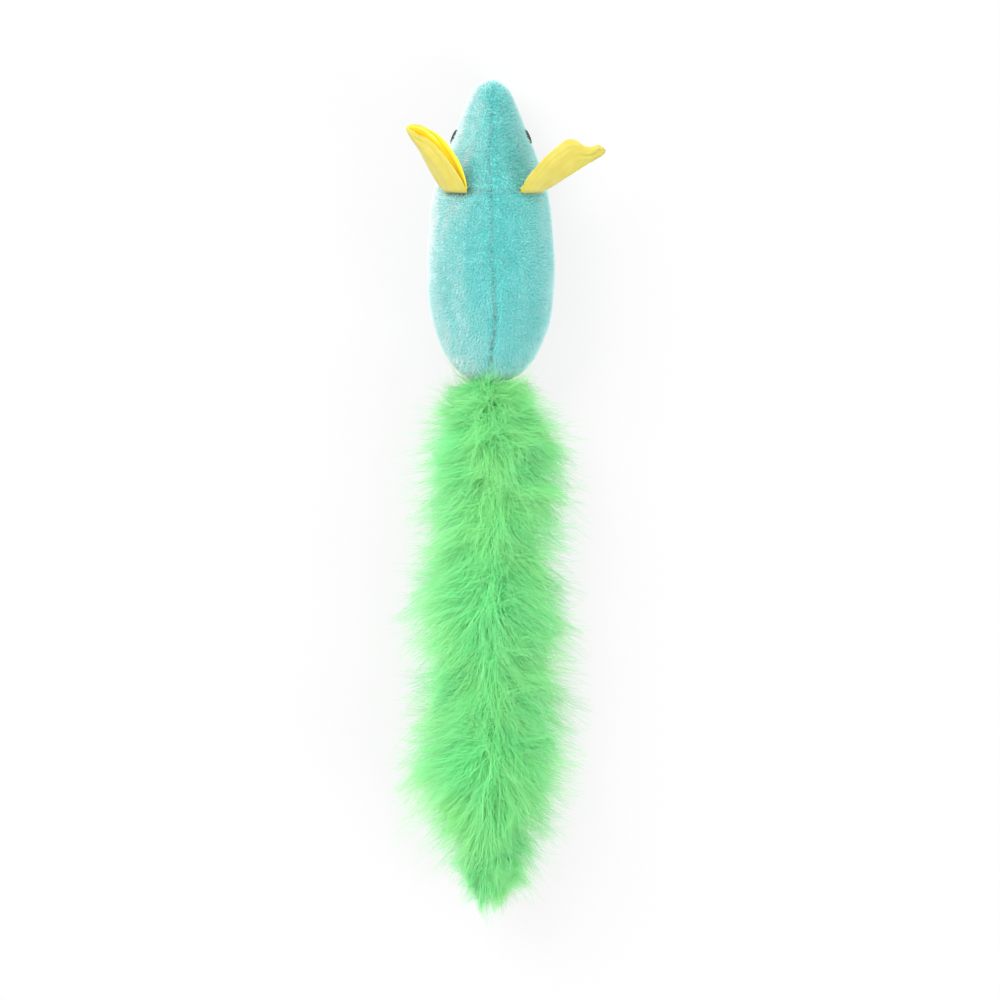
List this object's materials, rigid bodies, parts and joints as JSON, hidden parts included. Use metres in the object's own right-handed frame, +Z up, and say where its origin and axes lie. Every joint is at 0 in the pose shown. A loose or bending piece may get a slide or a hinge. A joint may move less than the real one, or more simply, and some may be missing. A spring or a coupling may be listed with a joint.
{
  "type": "catnip mouse",
  "caption": "Stuffed plush mouse for a cat, with cupped satin ears, dark button eyes and a long, fluffy feather-boa tail.",
  "frame": {"origin": "on the floor, at the middle of the flattened belly the mouse rests on", "axes": "+Y from the nose to the tail, along the body; +Z up, out of the back; +X to the mouse's left"},
  "size_m": [0.067, 0.2646, 0.04],
  "materials": {
    "plush": "short-pile aqua plush",
    "stuffing": "loose polyester fibre",
    "pouch_cloth": "plain thin cotton",
    "herb": "dried crumbled leaf",
    "seam_thread": "spun sewing thread",
    "eye": "smooth black",
    "satin": "yellow satin, soft sheen",
    "tail_cord": "twisted green cord",
    "fluff": "light green feather fluff"
  },
  "bodies": {
    "mouse": {"side_panel_left": "plush", "side_panel_right": "plush", "belly_panel": "plush", "fibre_fill": "stuffing", "pouch_upper": "pouch_cloth", "pouch_lower": "pouch_cloth", "catnip_herb": "herb", "back_seam_thread": "seam_thread", "closing_thread": "seam_thread", "belly_seam_thread_left": "seam_thread", "belly_seam_thread_right": "seam_thread", "eye_left": "eye", "eye_right": "eye", "ear_tab_left": "satin", "ear_tab_right": "satin", "tail_knot": "tail_cord", "tail_root_cord": "tail_cord"},
    "left_ear": {"ear_left": "satin"},
    "right_ear": {"ear_right": "satin"},
    "tail_link": {"tail_bend_link": "tail_cord"},
    "tail_1": {"plume_1": "fluff", "core_cord_1": "tail_cord"},
    "tail_2": {"plume_2": "fluff", "core_cord_2": "tail_cord"},
    "tail_3": {"plume_3": "fluff", "core_cord_3": "tail_cord"},
    "tail_4": {"plume_4": "fluff", "core_cord_4": "tail_cord"},
    "tail_5": {"plume_5": "fluff", "core_cord_5": "tail_cord", "tail_end_knot": "tail_cord"}
  },
  "joints": [
    {"name": "ear_flap_left", "type": "hinge", "parent": "mouse", "child": "left_ear", "pos_m": [0.00951, -0.02475, 0.03263], "axis": [0.7632, 0, -0.6462], "range_deg": [-70, 30], "stiffness_Nm_per_rad": 0.0002},
    {"name": "ear_flap_right", "type": "hinge", "parent": "mouse", "child": "right_ear", "pos_m": [-0.01047, -0.02475, 0.03248], "axis": [0.6992, 0, 0.7149], "range_deg": [-45, 50], "stiffness_Nm_per_rad": 0.0002},
    {"name": "tail_swing", "type": "hinge", "parent": "mouse", "child": "tail_link", "pos_m": [0, 0.0394, 0.018], "axis": [0, 0, 1], "range_deg": [-45, 45]},
    {"name": "tail_lift", "type": "hinge", "parent": "tail_link", "child": "tail_1", "pos_m": [0, 0.0394, 0.018], "axis": [1, 0, 0], "range_deg": [-40, 45]},
    {"name": "tail_bend_1", "type": "hinge", "parent": "tail_1", "child": "tail_2", "pos_m": [0, 0.0724, 0.018], "axis": [0, 0, 1], "range_deg": [-36, 36]},
    {"name": "tail_bend_2", "type": "hinge", "parent": "tail_2", "child": "tail_3", "pos_m": [0, 0.1054, 0.018], "axis": [1, 0, 0], "range_deg": [-36, 36]},
    {"name": "tail_bend_3", "type": "hinge", "parent": "tail_3", "child": "tail_4", "pos_m": [0, 0.1384, 0.018], "axis": [0, 0, 1], "range_deg": [-36, 36]},
    {"name": "tail_bend_4", "type": "hinge", "parent": "tail_4", "child": "tail_5", "pos_m": [0, 0.1714, 0.018], "axis": [1, 0, 0], "range_deg": [-36, 36]}
  ]
}
